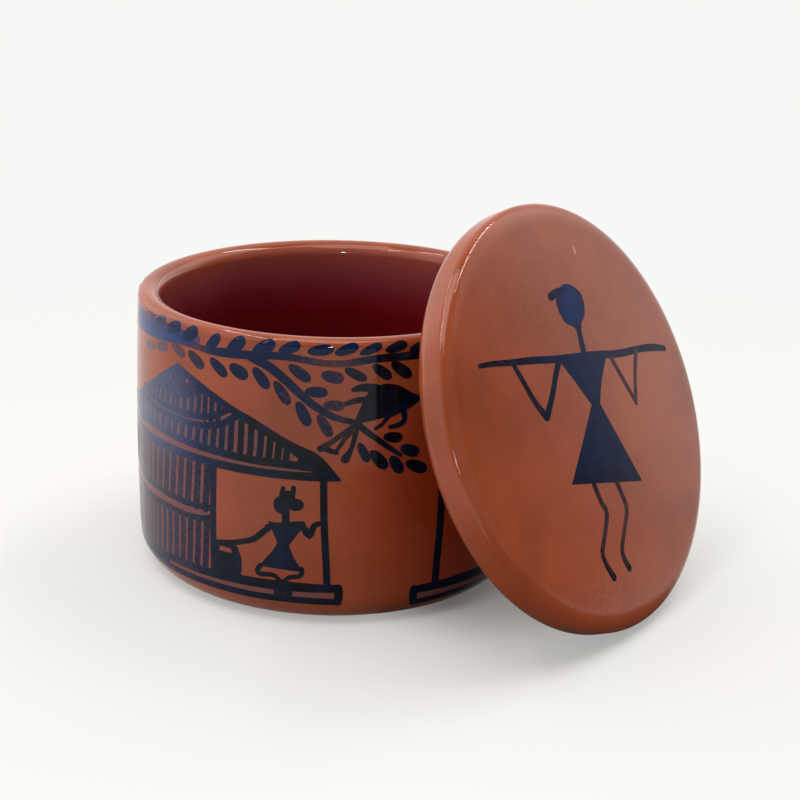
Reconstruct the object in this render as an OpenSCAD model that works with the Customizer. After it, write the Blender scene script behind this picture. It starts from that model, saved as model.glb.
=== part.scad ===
// Round ceramic storage box: a thrown pot with a bowed wall and a full rounded rim,
// and a thick flat lid that a ring under it locates in the mouth.
// The lid is off, and leans on the rim with its lower edge on the table.
// Origin: centre of the pot's flat base. +Z is up, and the front of the pot faces -Y.

/* [Pot] */
// Outside diameter at the widest place of the wall
body_d = 101; // [80:1:130]
// Height from the table to the top of the rim
body_h = 69.5; // [50:0.5:100]
// Thickness of the wall just below the rim
wall_t = 5.5; // [4.5:0.1:9]
// Thickness of the floor
floor_t = 6.5; // [4:0.5:10]
// Height of the widest place of the wall
belly_z = 23; // [15:1:35]
// Radius of the slow bow that the wall follows from foot to rim
bow_r = 800; // [400:50:3000]
// Rounding between the wall and the flat base
foot_r = 7; // [3:0.5:9]
// Rounding where the floor meets the wall inside
floor_fillet_r = 8; // [3:0.5:12]

/* [Rim] */
// Rounding of the rim on the outside
rim_out_r = 2; // [1:0.1:2.6]
// Rounding of the rim on the inside
rim_in_r = 3.3; // [1:0.1:3.4]

/* [Lid] */
// How far the lid's edge stands out past the widest place of the pot
lid_overhang = 0.5; // [0:0.1:3]
// Thickness of the lid at its edge
lid_t = 10; // [8:0.5:16]
// How much higher the middle of the lid is than its edge
crown_h = 0.8; // [0.3:0.1:3]
// Rounding of the lid's upper edge
lid_top_r = 2.6; // [1:0.1:3.5]
// Rounding of the lid's lower edge
lid_bottom_r = 4.4; // [1:0.1:4.4]

/* [Locating ring under the lid] */
// How far the ring reaches into the mouth
ring_h = 3.4; // [2:0.1:4]
// Thickness of the ring
ring_t = 3.4; // [2.4:0.1:4]
// Clearance between the ring and the mouth, all round
ring_clearance = 0.8; // [0.4:0.1:1.5]
// Rounding of the ring's lower edges
ring_edge_r = 1.1; // [0.4:0.1:1.1]

/* [Where the lid leans] */
// Direction, seen from above, in which the lid leans against the rim
lean_azimuth = -39.2; // [-60:0.1:-20]
// Angle of the lid's upper face above upright
lean_tilt = 24.5; // [18:0.1:32]
// How far the lid's centre lies to the right of the place where it touches the rim
lean_shift = 8.6; // [0:0.1:10]
// Clearance between the lid and the rim that it leans on
lean_clearance = 0.3; // [0.1:0.1:0.6]

/* [Hidden] */
$fn = 144;
// Facets of the two slow arcs, whose radii are many times the size of the box
slow_arc_fn = 2880;
// How far a cutting shape reaches past what it cuts
past = 1;

// The wall's bow: its centre, and the wall's outside radius at a height
bow_centre = [body_d / 2 - bow_r, belly_z];
function wall_x(z) = bow_centre.x + sqrt(bow_r ^ 2 - (z - belly_z) ^ 2);

// Centre of a rounding of radius r that lies at height z and meets the bowed wall
function on_wall(r, z) = [bow_centre.x + sqrt((bow_r - r) ^ 2 - (z - belly_z) ^ 2), z];
foot_centre = on_wall(foot_r, foot_r);
rim_centre = on_wall(rim_out_r, body_h - rim_out_r);

// The straight bore of the mouth
mouth_r = wall_x(body_h - rim_out_r) - wall_t;

// Lid: radius, and the sphere that its upper face belongs to
lid_r = body_d / 2 + lid_overhang;
crown_r = (lid_r ^ 2 + crown_h ^ 2) / (2 * crown_h);
crown_centre = [0, lid_t + crown_h - crown_r];
lid_top_centre = [
    lid_r - lid_top_r,
    crown_centre.y + sqrt((crown_r - lid_top_r) ^ 2 - (lid_r - lid_top_r) ^ 2)
];
lid_bottom_centre = [lid_r - lid_bottom_r, lid_bottom_r];
ring_outer_r = mouth_r - ring_clearance;
ring_inner_r = ring_outer_r - ring_t;

// Leaning place: the lid's underside touches the rounding of the rim, bar the clearance,
// and the lower of its two edges is on the table
rim_reach = rim_centre.x * cos(lean_tilt) + rim_centre.y * sin(lean_tilt) + rim_out_r;
lid_out = rim_reach + lean_clearance;
function edge_drop(c, r) = c.x * cos(lean_tilt) - c.y * sin(lean_tilt) + r;
lid_centre_z = max(edge_drop(lid_bottom_centre, lid_bottom_r), edge_drop(lid_top_centre, lid_top_r));
lid_up_slope = (lid_centre_z - lid_out * sin(lean_tilt)) / cos(lean_tilt);

// What is cut away outside a rounding: the corner between two directions from its centre
module corner_outside(centre, r, from, to) {
    far = 3 * r;
    difference() {
        translate(centre)
            polygon([[0, 0], far * from, far * (from + to), far * to]);
        translate(centre)
            circle(r = r);
    }
}

// Half section of the pot's outside
module pot_outline() {
    difference() {
        intersection() {
            translate(bow_centre)
                circle(r = bow_r, $fn = slow_arc_fn);
            square([body_d, body_h]);
        }
        foot_dir = foot_centre - bow_centre;
        corner_outside(foot_centre, foot_r, [0, -1], foot_dir / norm(foot_dir));
        rim_dir = rim_centre - bow_centre;
        corner_outside(rim_centre, rim_out_r, [0, 1], rim_dir / norm(rim_dir));
    }
}

// Half section of the hollow, with a rounded floor corner and the flare of the rim
module hollow_outline() {
    difference() {
        translate([0, floor_t])
            square([mouth_r, body_h - floor_t + past]);
        floor_centre = [mouth_r - floor_fillet_r, floor_t + floor_fillet_r];
        corner_outside(floor_centre, floor_fillet_r, [0, -1], [1, 0]);
    }
    difference() {
        translate([mouth_r - past, body_h - rim_in_r])
            square([rim_in_r + past, rim_in_r + past]);
        translate([mouth_r + rim_in_r, body_h - rim_in_r])
            circle(r = rim_in_r);
    }
}

module box_body() {
    color("#9c4f36")
        rotate_extrude()
            difference() {
                pot_outline();
                hollow_outline();
            }
}

// Half section of the lid's disc: flat underside, crowned upper face, rounded edges
module disc_outline() {
    difference() {
        intersection() {
            square([lid_r, lid_t + crown_h]);
            translate(crown_centre)
                circle(r = crown_r, $fn = slow_arc_fn);
        }
        crown_dir = lid_top_centre - crown_centre;
        corner_outside(lid_top_centre, lid_top_r, [1, 0], crown_dir / norm(crown_dir));
        corner_outside(lid_bottom_centre, lid_bottom_r, [1, 0], [0, -1]);
    }
}

// Half section of the ring, which is thrown in one with the disc
module ring_outline() {
    difference() {
        translate([ring_inner_r, -ring_h])
            square([ring_t, ring_h + past]);
        corner_outside([ring_outer_r - ring_edge_r, ring_edge_r - ring_h], ring_edge_r, [1, 0], [0, -1]);
        corner_outside([ring_inner_r + ring_edge_r, ring_edge_r - ring_h], ring_edge_r, [-1, 0], [0, -1]);
    }
}

// Puts the lid, drawn with its underside at z = 0, in its leaning place
module leaning() {
    rotate([0, 0, lean_azimuth])
        rotate([0, 90 - lean_tilt, 0])
            translate([-lid_up_slope, lean_shift, lid_out])
                children();
}

module lid() {
    color("#a85a40")
        leaning()
            rotate_extrude()
                union() {
                    disc_outline();
                    ring_outline();
                }
}

box_body();
lid();
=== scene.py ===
import math
import random

import bpy
from mathutils import Matrix, Vector


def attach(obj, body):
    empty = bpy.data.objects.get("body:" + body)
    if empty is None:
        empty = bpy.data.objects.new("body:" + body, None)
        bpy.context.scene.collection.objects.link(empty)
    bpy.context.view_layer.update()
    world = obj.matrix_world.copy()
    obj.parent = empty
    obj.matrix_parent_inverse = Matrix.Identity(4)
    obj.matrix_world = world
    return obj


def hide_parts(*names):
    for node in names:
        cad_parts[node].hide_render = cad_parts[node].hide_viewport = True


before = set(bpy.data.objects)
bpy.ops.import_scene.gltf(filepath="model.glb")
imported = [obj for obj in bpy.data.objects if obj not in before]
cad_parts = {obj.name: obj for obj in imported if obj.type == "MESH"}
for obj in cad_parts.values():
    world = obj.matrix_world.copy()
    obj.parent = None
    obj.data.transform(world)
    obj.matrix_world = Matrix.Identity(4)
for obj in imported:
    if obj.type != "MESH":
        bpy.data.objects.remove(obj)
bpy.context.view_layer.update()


# ---------------------------------------------------------------------------
# The view: a short telephoto lens held a little above the box, looking down
# on its rim, turned a touch to the right and not quite level.
LENS_MM = 67.5
CAMERA_AT = (0.0, -0.3649, 0.1659)
CAMERA_TURN, CAMERA_DOWN, CAMERA_LEVEL = 2.595, 19.193, 1.577

bpy.ops.object.select_all(action="DESELECT")
bpy.ops.object.camera_add(location=CAMERA_AT)
camera = bpy.context.object
camera.name = "camera"
camera.data.lens = LENS_MM
camera.data.sensor_width = 36.0
camera.data.clip_start = 0.01
camera.matrix_world = (Matrix.Translation(CAMERA_AT)
                       @ Matrix.Rotation(math.radians(-CAMERA_TURN), 4, "Z")
                       @ Matrix.Rotation(math.radians(90 - CAMERA_DOWN), 4, "X")
                       @ Matrix.Rotation(math.radians(CAMERA_LEVEL), 4, "Z"))
bpy.context.scene.camera = camera
bpy.context.scene.view_settings.view_transform = "Standard"


# ---------------------------------------------------------------------------
# The table: a wide sheet of matt white board that the box stands on. It is
# not part of the object. Its colour carries the pale background.
def pigment(code):
    """An sRGB hex colour as the linear colour that a shader wants."""
    parts = [int(code[i:i + 2], 16) / 255 for i in (1, 3, 5)]
    return tuple(c / 12.92 if c <= 0.04045 else ((c + 0.055) / 1.055) ** 2.4 for c in parts) + (1.0,)


def add_node(material, kind, settings=None, values=None, links=None, stops=()):
    """Adds a shader node: its settings, its sockets' values, what feeds them, and a ramp's colours."""
    node = material.node_tree.nodes.new("ShaderNode" + kind)
    for key, value in (settings or {}).items():
        setattr(node, key, value)
    for key, value in (values or {}).items():
        node.inputs[key].default_value = value
    for key, source in (links or {}).items():
        material.node_tree.links.new(source, node.inputs[key])
    for number, (position, colour) in enumerate(stops):
        elements = node.color_ramp.elements
        stop = elements[number] if number < 2 else elements.new(position)
        stop.position, stop.color = position, pigment(colour)
    return node


TABLE_SIZE, TABLE_TOP = 8.0, -0.00002

bpy.ops.mesh.primitive_plane_add(size=TABLE_SIZE, location=(0, 0, TABLE_TOP))
table = bpy.context.object
table.name = "table"

# Matt white board: lit by the lamps near the box, so that it holds the shadow, and plain bright white further
# off, where no shadow falls. It bounces less light than it shows, and in the narrow wedge under the lid its
# bounce colour is painted dark brown: painted shade for the clay there
white_board = bpy.data.materials.new("matt_white_board")
white_board.use_nodes = True
board = white_board.node_tree.nodes["Principled BSDF"]
board.inputs["Roughness"].default_value = 0.9
board.inputs["Specular IOR Level"].default_value = 0.1
here = add_node(white_board, "TexCoord").outputs["Object"]
spot = add_node(white_board, "SeparateXYZ", links={"Vector": here})
ray = add_node(white_board, "LightPath")
part = {name: ray.outputs[name] for name in ("Is Camera Ray", "Is Glossy Ray", "Is Diffuse Ray")}
# Distances from the box, from the wedge that the lid shuts in and from the gap there, and how far a place
# lies past the edge of the painted shade at the front right
for name, operation, where in (
        ("from_box", "DISTANCE", (0.04, 0.0, 0.0)),
        ("from_wedge", "DISTANCE", (0.044, -0.046, 0.0)),
        ("from_gap", "DISTANCE", (0.036, -0.034, 0.0)),
        ("past_line", "DOT_PRODUCT", (0.925, 0.380, 0.0))):
    part[name] = add_node(white_board, "VectorMath", {"operation": operation}, {1: where},
                          {0: here}).outputs["Value"]
for name, measure, start, end, low, high in (
        ("far_off", part["from_box"], 0.105, 0.31, 0.36, 1.0),
        ("in_wedge", part["from_wedge"], 0.06, 0.015, 0.0, 0.85),
        ("out_of_gap", part["from_gap"], 0.008, 0.032, 0.25, 1.0),
        ("rightward", spot.outputs["X"], -0.12, 0.04, 0.0, 1.0),
        ("nearby", spot.outputs["Y"], -0.22, -0.14, 0.0, 1.0),
        ("past_edge", part["past_line"], -0.0135, -0.0065, 0.0, 1.0),
        ("forward", spot.outputs["Y"], -0.012, -0.042, 0.0, 0.95)):
    part[name] = add_node(white_board, "MapRange", {"interpolation_type": "SMOOTHSTEP"},
                          {"From Min": start, "From Max": end, "To Min": low, "To Max": high},
                          {"Value": measure}).outputs["Result"]
# Painted shade that only the glaze mirrors: glossy rays see the board dark at the front right
for name, operation, one, other in (
        ("soft_part", "MULTIPLY", "rightward", "nearby"),
        ("sideways", "MAXIMUM", "soft_part", "past_edge"),
        ("shade", "MULTIPLY", "sideways", "forward"),
        ("painted_mirror_shade", "MULTIPLY", "shade", "Is Glossy Ray"),
        ("seen", "MAXIMUM", "Is Camera Ray", "Is Glossy Ray"),
        ("seen_far_off", "MULTIPLY", "seen", "far_off"),
        ("plain", "MULTIPLY", "seen_far_off", "out_of_gap"),
        ("share", "MAXIMUM", "plain", "painted_mirror_shade"),
        ("wedge_painted_shade", "MULTIPLY", "in_wedge", "Is Diffuse Ray")):
    part[name] = add_node(white_board, "Math", {"operation": operation}, None,
                          {0: part[one], 1: part[other]}).outputs["Value"]
bounced = add_node(white_board, "Mix", {"data_type": "RGBA"}, {6: pigment("#d9d8d6"), 7: pigment("#bdbab6")},
                   {0: part["Is Diffuse Ray"]})
# Painted shade: in the wedge under the lid the light that the board bounces is painted dark brown
dimmed = add_node(white_board, "Mix", {"data_type": "RGBA"}, {7: pigment("#3c2a22")},
                  {0: part["wedge_painted_shade"], 6: bounced.outputs[2]})
white_board.node_tree.links.new(dimmed.outputs[2], board.inputs["Base Color"])
lit = add_node(white_board, "Math", {"operation": "SUBTRACT"}, {0: 1.0}, {1: part["painted_mirror_shade"]})
plain_white = add_node(white_board, "Emission", values={"Color": pigment("#f8f8f6")},
                       links={"Strength": lit.outputs["Value"]})
blend = add_node(white_board, "MixShader",
                 links={0: part["share"], 1: board.outputs["BSDF"], 2: plain_white.outputs["Emission"]})
white_board.node_tree.links.new(blend.outputs["Shader"],
                                white_board.node_tree.nodes["Material Output"].inputs["Surface"])
table.data.materials.append(white_board)

# A pale room, dim behind the viewer, with three soft glows: low at the back on
# the right, high on the right, and on the left. It is lit by a soft lamp
# overhead, two tubes, a soft lamp on each side in front, and a small window
# behind the viewer that leaves the glints on the rim and the vine
world = bpy.data.worlds.new("pale_room")
world.use_nodes = True
bpy.context.scene.world = world
room = world.node_tree.nodes["Background"]
facing = add_node(world, "TexCoord").outputs["Generated"]
axes = add_node(world, "SeparateXYZ", links={"Vector": facing})
level = add_node(world, "MapRange", {"interpolation_type": "SMOOTHSTEP"},
                 {"From Min": 0.17, "From Max": 0.38, "To Min": 0.16, "To Max": 1.0},
                 {"Value": axes.outputs["Y"]})
for way, start, end, strength in (
        ((0.82, 0.56, 0.12), 0.93, 0.99, 0.35),
        ((0.70, 0.30, 0.65), 0.88, 0.98, 1.2),
        ((-0.90, 0.10, 0.42), 0.55, 0.95, 1.1)):
    towards = add_node(world, "VectorMath", {"operation": "DOT_PRODUCT"}, {1: way}, {0: facing})
    glow = add_node(world, "MapRange", {"interpolation_type": "SMOOTHSTEP"},
                    {"From Min": start, "From Max": end, "To Min": 0.0, "To Max": strength},
                    {"Value": towards.outputs["Value"]})
    level = add_node(world, "Math", {"operation": "ADD"}, None,
                     {0: level.outputs[0], 1: glow.outputs["Result"]})
room.inputs["Color"].default_value = pigment("#fbfaf7")
world.node_tree.links.new(level.outputs["Value"], room.inputs["Strength"])

for lamp_name, place, aim, size, watts, tint in (
        ("overhead_softbox", (-0.05, -0.16, 0.74), (0.0, -0.06, 0.03), (0.46, 0.46), 2.3, "#fffdf9"),
        ("left_tube", (-0.45, -0.05, 0.90), (-0.45, -0.05, 0.0), (0.045, 0.80), 2.1, "#ffffff"),
        ("right_tube", (0.40, 0.18, 0.90), (0.40, 0.18, 0.0), (0.045, 0.64), 2.1, "#ffffff"),
        ("front_softbox", (-1.02, -0.92, 0.85), (0, 0, 0.04), (1.6, 1.6), 3.4, "#fffdf9"),
        ("right_softbox", (0.95, -0.80, 0.55), (0.06, -0.03, 0.04), (1.5, 1.5), 1.6, "#fffdf9"),
        ("front_window", (-0.10, -1.62, 0.40), (0, 0, 0.06), (0.06, 0.15), 2.0, "#ffffff")):
    bpy.ops.object.light_add(type="AREA", location=place)
    lamp = bpy.context.object
    lamp.name = lamp_name
    lamp.data.shape = "RECTANGLE"
    lamp.data.size, lamp.data.size_y = size
    lamp.data.energy = watts
    lamp.data.color = pigment(tint)[:3]
    lamp.rotation_euler = (Vector(aim) - Vector(place)).to_track_quat("-Z", "Y").to_euler()


# ---------------------------------------------------------------------------
# The pot: one piece of red earthenware, thrown on a wheel, wiped smooth and
# dipped in clear glossy glaze after it was painted. The foot ring is wiped
# bare. Its wall bows out a little, and its rim is a full soft roll.
MM = 0.001
HEIGHT = 69.5
FLOOR_TOP, FLOOR_FILLET = 6.5, 8.0
BELLY_Z, BOW_R, BOW_CENTRE = 23.0, 800.0, -749.5
FOOT_CENTRE, FOOT_R = (43.339, 7.0), 7.0
RIM_CENTRE, RIM_R = (47.258, 67.5), 2.0
LIP_CENTRE, LIP_R = (47.061, 66.2), 3.3
MOUTH_R = 43.761
BODY_TURNS, SKIN_TURNS = 256, 192


def wall_radius(height):
    """The outside radius of the bowed wall at a height, both in mm."""
    return BOW_CENTRE + math.sqrt(BOW_R ** 2 - (height - BELLY_Z) ** 2)


def corner(centre, radius, start, end, steps):
    """Points of a rounding, from a start angle to an end angle in degrees."""
    turn = [math.radians(start + (end - start) * i / steps) for i in range(steps + 1)]
    return [(centre[0] + radius * math.cos(a), centre[1] + radius * math.sin(a)) for a in turn]


def straight(start, end, steps):
    """Points along a straight run, without its first one."""
    return [tuple(s + (e - s) * i / steps for s, e in zip(start, end)) for i in range(1, steps + 1)]


def wheel_touch(x, y, z):
    """What the potter's hands leave: the pot a touch oval and its wall faintly waved, in mm."""
    around = math.atan2(y, x)
    lift = min(max(z / HEIGHT, 0.0), 1.0)
    push = (0.10 * math.sin(2 * around + 0.6) * lift
            + 0.010 * math.sin(z * 0.72 + 1.3 * math.sin(around))
            + 0.020 * math.sin(z * 0.31 + 2.0 + around)
            + 0.03 * math.sin(5 * around + z * 0.05))
    reach = min(math.hypot(x, y) / 40.0, 1.0)
    return x + push * reach * math.cos(around), y + push * reach * math.sin(around), z


def throw_on_wheel(name, half_section, turns):
    """Draws a half-section point by point from one vertex and spins it round the wheel's axis."""
    bpy.ops.object.select_all(action="DESELECT")
    bpy.ops.mesh.primitive_plane_add(size=0.001, location=(0, 0, 0))
    piece = bpy.context.object
    piece.name = piece.data.name = name
    bpy.ops.object.mode_set(mode="EDIT")
    bpy.ops.mesh.merge(type="CENTER")
    here = (0.0, 0.0)
    for number, there in enumerate(half_section):
        step = ((there[0] - here[0]) * MM, 0, (there[1] - here[1]) * MM)
        if number == 0:
            bpy.ops.transform.translate(value=step)
        else:
            bpy.ops.mesh.extrude_region_move(TRANSFORM_OT_translate={"value": step})
        here = there
    bpy.ops.mesh.select_all(action="SELECT")
    bpy.ops.mesh.spin(steps=turns, angle=2 * math.pi, center=(0, 0, 0), axis=(0, 0, 1))
    bpy.ops.mesh.select_all(action="SELECT")
    bpy.ops.mesh.remove_doubles(threshold=0.000002)
    bpy.ops.mesh.normals_make_consistent(inside=False)
    bpy.ops.object.mode_set(mode="OBJECT")
    bpy.ops.object.shade_smooth()
    return piece


outside = corner(FOOT_CENTRE, FOOT_R, -90, 0, 14)[:-1]
outside += [(wall_radius(z), z) for z in [FOOT_CENTRE[1] + (RIM_CENTRE[1] - FOOT_CENTRE[1]) * i / 60
                                          for i in range(61)]]
rim = corner(RIM_CENTRE, RIM_R, 0, 90, 18)[1:]
lip = corner(LIP_CENTRE, LIP_R, 90, 180, 18)
bore = straight((MOUTH_R, LIP_CENTRE[1]), (MOUTH_R, FLOOR_TOP + FLOOR_FILLET), 40)
fillet = corner((MOUTH_R - FLOOR_FILLET, FLOOR_TOP + FLOOR_FILLET), FLOOR_FILLET, 0, -90, 10)[1:]
inside_floor = straight((MOUTH_R - FLOOR_FILLET, FLOOR_TOP), (0.0, FLOOR_TOP), 14)
underside = [(0.0, 0.0)] + straight((0.0, 0.0), (FOOT_CENTRE[0], 0.0), 16)[:-1]

pot = throw_on_wheel("pot", underside + outside + rim + lip + bore + fillet + inside_floor, BODY_TURNS)
for v in pot.data.vertices:
    v.co = Vector(wheel_touch(*(v.co / MM))) * MM


# Glazed earthenware: fired red clay with fine grog, cloudy from the kiln,
# under a clear bright glaze. The glaze has a faint orange peel on its skin,
# which breaks up small highlights.
def glazed_terracotta(name, to_wheel, dimples):
    """The body and the lid have the same clay and glaze. to_wheel turns the piece upright, in mm.

    dimples is how much of the orange peel shows in the glaze's own shine, from 0 to 1."""
    made = bpy.data.materials.new(name)
    made.use_nodes = True
    glaze = made.node_tree.nodes["Principled BSDF"]
    where = add_node(made, "TexCoord")
    upright = add_node(made, "Mapping", values={"Location": to_wheel[0], "Rotation": to_wheel[1]},
                       links={"Vector": where.outputs["Object"]})
    mm = add_node(made, "VectorMath", {"operation": "SCALE"}, {"Scale": 1 / MM},
                  {0: upright.outputs["Vector"]})
    cloud = add_node(made, "TexNoise", values={"Scale": 0.045, "Detail": 3.0, "Roughness": 0.5},
                     links={"Vector": mm.outputs[0]})
    clay = add_node(made, "ValToRGB", links={"Fac": cloud.outputs["Fac"]},
                    stops=((0.34, "#863c1f"), (0.66, "#9a4729")))
    # Grog: specks of crushed fired clay under a millimetre across
    grog = add_node(made, "TexNoise", values={"Scale": 1.3, "Detail": 2.0, "Roughness": 0.6},
                    links={"Vector": mm.outputs[0]})
    colour = clay.outputs["Color"]
    for start, end, most, speck in ((0.66, 0.78, 0.16, "#c98d6e"), (0.33, 0.22, 0.3, "#6b2f1e")):
        strewn = add_node(made, "MapRange", values={"From Min": start, "From Max": end, "To Max": most},
                          links={"Value": grog.outputs["Fac"]})
        colour = add_node(made, "Mix", {"data_type": "RGBA"}, {7: pigment(speck)},
                          {0: strewn.outputs["Result"], 6: colour}).outputs[2]
    # Orange peel about 1.5 mm from dimple to dimple, a few hundredths deep
    peel = add_node(made, "TexNoise", values={"Scale": 0.7, "Detail": 2.5, "Roughness": 0.5},
                    links={"Vector": mm.outputs[0]})
    skin = add_node(made, "Bump", values={"Strength": 0.32, "Distance": 0.00004},
                    links={"Height": peel.outputs["Fac"]})
    shine = add_node(made, "TexNoise", values={"Scale": 1.5, "Detail": 2.0, "Roughness": 0.55},
                     links={"Vector": mm.outputs[0]})
    ripple = add_node(made, "Bump", values={"Strength": dimples, "Distance": 0.00004},
                      links={"Height": shine.outputs["Fac"]})
    haze = add_node(made, "MapRange", values={"To Min": 0.34, "To Max": 0.46},
                    links={"Value": cloud.outputs["Fac"]})
    for socket, source in (("Base Color", colour), ("Roughness", haze.outputs["Result"]),
                           ("Normal", skin.outputs["Normal"]), ("Coat Normal", ripple.outputs["Normal"])):
        made.node_tree.links.new(source, glaze.inputs[socket])
    for socket, value in (("IOR", 1.5), ("Specular IOR Level", 0.0), ("Coat Weight", 1.0),
                          ("Coat Roughness", 0.05), ("Coat IOR", 1.42)):
        glaze.inputs[socket].default_value = value
    return made, mm.outputs[0], colour


pot_clay, pot_mm, pot_colour = glazed_terracotta("pot_glazed_terracotta", ((0, 0, 0), (0, 0, 0)), 0.2)
# Painted shade: the clay is painted a deeper red at the front right, where the leaning lid shades it
from_painted_wedge_shade = add_node(pot_clay, "VectorMath", {"operation": "DISTANCE"}, {1: (36.0, -35.0, 32.0)},
                      {0: pot_mm})
painted_wedge_shade = add_node(pot_clay, "MapRange", {"interpolation_type": "SMOOTHSTEP"},
                 {"From Min": 22.0, "From Max": 38.0, "To Min": 0.5, "To Max": 0.0},
                 {"Value": from_painted_wedge_shade.outputs["Value"]})
clay_with_painted_shade = add_node(pot_clay, "Mix", {"data_type": "RGBA"}, {7: pigment("#821800")},
                   {0: painted_wedge_shade.outputs["Result"], 6: pot_colour})
pot_clay.node_tree.links.new(clay_with_painted_shade.outputs[2],
                             pot_clay.node_tree.nodes["Principled BSDF"].inputs["Base Color"])
pot.data.materials.append(pot_clay)
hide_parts("box_body")
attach(pot, "pot")

# The foot: wiped bare, so that it doesn't stick in the kiln. The bare ring
# starts at WIPED_FROM, lies BARE proud of the clay and is rooted WIPED_ROOT in it
WIPED_FROM, BARE, WIPED_ROOT = 34.0, 0.012, 0.3
wiped = [(WIPED_FROM, WIPED_ROOT), (WIPED_FROM, -BARE)]
wiped += straight((WIPED_FROM, -BARE), (FOOT_CENTRE[0], -BARE), 4)
wiped += corner(FOOT_CENTRE, FOOT_R + BARE, -90, -66, 6)[1:]
wiped += corner(FOOT_CENTRE, FOOT_R - WIPED_ROOT, -66, -90, 6)[:-1]
foot = throw_on_wheel("wiped_foot", wiped + [wiped[0]], SKIN_TURNS)

# Bare fired clay: paler and dead matt, with the same grog in it
bare_clay = bpy.data.materials.new("bare_fired_clay")
bare_clay.use_nodes = True
matt = bare_clay.node_tree.nodes["Principled BSDF"]
where = add_node(bare_clay, "TexCoord")
grit = add_node(bare_clay, "TexNoise", values={"Scale": 1300.0, "Detail": 3.0},
                links={"Vector": where.outputs["Object"]})
biscuit = add_node(bare_clay, "ValToRGB", links={"Fac": grit.outputs["Fac"]},
                   stops=((0.3, "#a45c3e"), (0.72, "#c58a68")))
rough = add_node(bare_clay, "Bump", values={"Strength": 0.5, "Distance": 0.00006},
                 links={"Height": grit.outputs["Fac"]})
bare_clay.node_tree.links.new(biscuit.outputs["Color"], matt.inputs["Base Color"])
bare_clay.node_tree.links.new(rough.outputs["Normal"], matt.inputs["Normal"])
matt.inputs["Roughness"].default_value = 0.9
matt.inputs["Specular IOR Level"].default_value = 0.2
foot.data.materials.append(bare_clay)
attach(foot, "pot")


# ---------------------------------------------------------------------------
# The liner: a maroon gloss glaze poured into the pot, swirled round and
# poured out. It lies on the clay as a skin, from the inside of the rim down
# the wall and over the floor.
SKIN = 0.16
BORE_DEPTH = LIP_CENTRE[1] - FLOOR_TOP - FLOOR_FILLET
lining = [(MOUTH_R - SKIN + (LIP_CENTRE[0] - MOUTH_R) * (1 - math.cos(math.radians(a))),
           LIP_CENTRE[1] + LIP_R * math.sin(math.radians(a))) for a in (46, 40, 32, 24, 16, 8)]
lining += [(MOUTH_R - SKIN, LIP_CENTRE[1] - BORE_DEPTH * i / 40) for i in range(41)]
lining += corner((MOUTH_R - FLOOR_FILLET, FLOOR_TOP + FLOOR_FILLET), FLOOR_FILLET - SKIN, 0, -90, 10)[1:]
lining += straight((MOUTH_R - FLOOR_FILLET, FLOOR_TOP + SKIN), (0.0, FLOOR_TOP + SKIN), 14)
back_of_skin = [(0.0, FLOOR_TOP - SKIN)] + straight(
    (0.0, FLOOR_TOP - SKIN), (MOUTH_R - FLOOR_FILLET, FLOOR_TOP - SKIN), 4)
back_of_skin += corner((MOUTH_R - FLOOR_FILLET, FLOOR_TOP + FLOOR_FILLET), FLOOR_FILLET + SKIN, -90, 0, 8)[1:]
back_of_skin += straight((MOUTH_R + SKIN, FLOOR_TOP + FLOOR_FILLET), (MOUTH_R + SKIN, LIP_CENTRE[1]), 10)
liner = throw_on_wheel("inside_glaze", lining + back_of_skin + [lining[0]], SKIN_TURNS)
for v in liner.data.vertices:
    v.co = Vector(wheel_touch(*(v.co / MM))) * MM

# Maroon liner glaze: thick, even and glossy, with cloudy patches where it was swirled. It turns browner where
# it runs thin to the clay at the rim; the darker maroon deeper down is painted shade, and the plum just under
# the rim a painted hazy reflection
maroon = bpy.data.materials.new("maroon_liner_glaze")
maroon.use_nodes = True
gloss = maroon.node_tree.nodes["Principled BSDF"]
where = add_node(maroon, "TexCoord")
height = add_node(maroon, "SeparateXYZ", links={"Vector": where.outputs["Object"]})
cloud = add_node(maroon, "TexNoise", values={"Scale": 60.0, "Detail": 3.0},
                 links={"Vector": where.outputs["Object"]})
patch = add_node(maroon, "MapRange",
                 values={"From Min": 0.3, "From Max": 0.7, "To Min": -0.0012, "To Max": 0.0012},
                 links={"Value": cloud.outputs["Fac"]})
thin = add_node(maroon, "Math", {"operation": "ADD"},
                links={0: height.outputs["Z"], 1: patch.outputs["Result"]})
level = add_node(maroon, "MapRange", values={"From Min": 0.050, "From Max": 0.0686},
                 links={"Value": thin.outputs["Value"]})
# Painted shade and painted reflection: darker with depth in the pot, plum towards the rim, clay colour at the
# very edge
tone = add_node(maroon, "ValToRGB", links={"Fac": level.outputs["Result"]},
                stops=((0.0, "#690b15"), (1.0, "#94421f"), (0.3, "#6f1c25"), (0.62, "#80363c"),
                       (0.86, "#8e4238")))
maroon.node_tree.links.new(tone.outputs["Color"], gloss.inputs["Base Color"])
for socket, value in (("Roughness", 0.3), ("IOR", 1.5), ("Specular IOR Level", 0.15), ("Coat Weight", 1.0),
                      ("Coat Roughness", 0.07), ("Coat IOR", 1.36)):
    gloss.inputs[socket].default_value = value
liner.data.materials.append(maroon)
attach(liner, "pot")


# ---------------------------------------------------------------------------
# The lid: a thick disc of the same clay, turned flat with a slightly crowned
# face and soft corners, with a ring under it that drops into the mouth. It
# leans on the rim, standing on its own edge on the table.
LID_R, CROWN_R, CROWN_CENTRE = 51.0, 1626.025, -1615.225
TOP_CORNER, TOP_CORNER_REACH, TOP_CORNER_DROP = (47.0, 7.478), 4.0, 2.62
LOW_CORNER, LOW_CORNER_R = (46.6, 4.4), 4.4
RING_OUT, RING_IN, RING_DROP, RING_EDGE = 42.961, 39.561, 3.4, 1.1
LEAN_TURN, LEAN_BACK = -39.2, 65.5
LID_AT = (51.970, -31.288, 44.980)


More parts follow.
